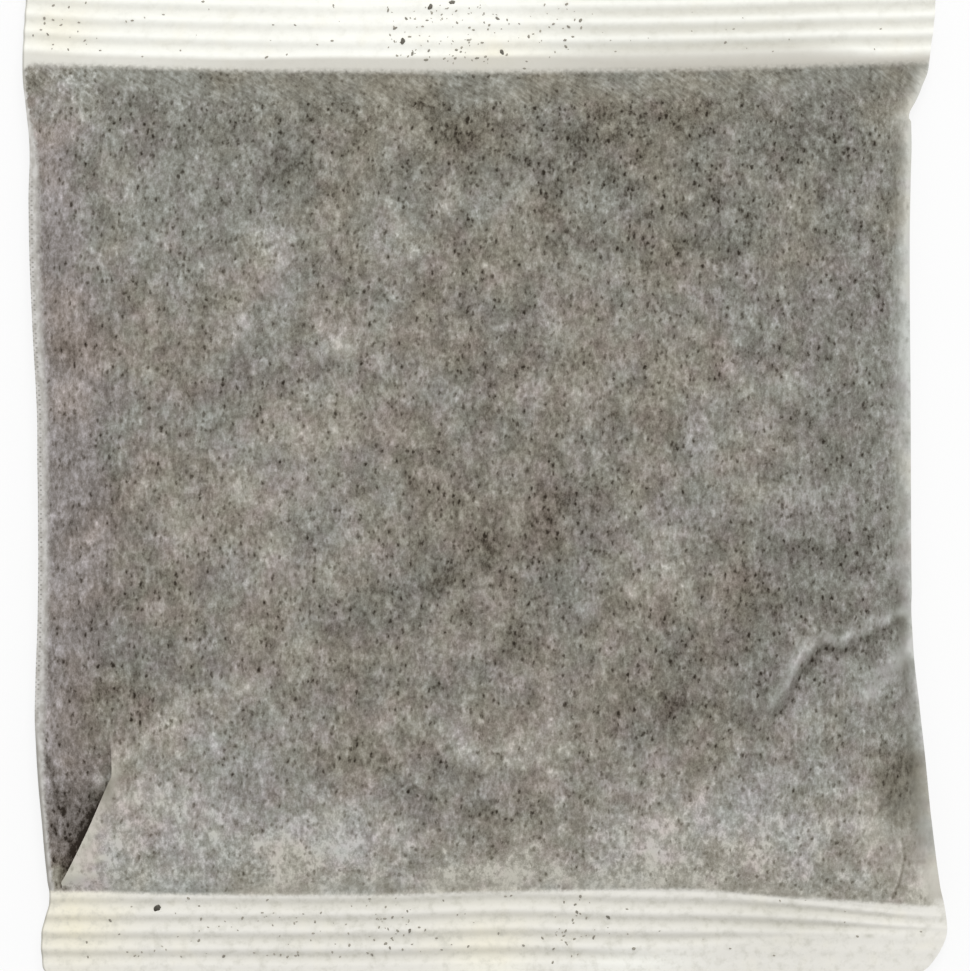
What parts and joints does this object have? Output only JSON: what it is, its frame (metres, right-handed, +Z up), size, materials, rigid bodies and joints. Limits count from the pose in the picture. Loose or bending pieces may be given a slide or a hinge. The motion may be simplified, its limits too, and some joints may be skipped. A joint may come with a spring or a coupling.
{
  "type": "coffee filter pouch",
  "caption": "Flat square pillow pouch of white filter paper filled with ground coffee, folded on one side, sealed on the other and closed by ribbed crimp seals at both ends.",
  "frame": {"origin": "middle of the pouch's box, on the underside that lies on the table", "axes": "+X across the pouch towards its folded edge, +Y along it from the bottom seal to the top seal, +Z up out of the front panel"},
  "size_m": [0.1072, 0.1172, 0.0079],
  "materials": {
    "filter_paper": "matte, translucent white filter paper with the ground coffee showing through"
  },
  "bodies": {
    "root": {"filter_pouch": "filter_paper"}
  },
  "joints": []
}
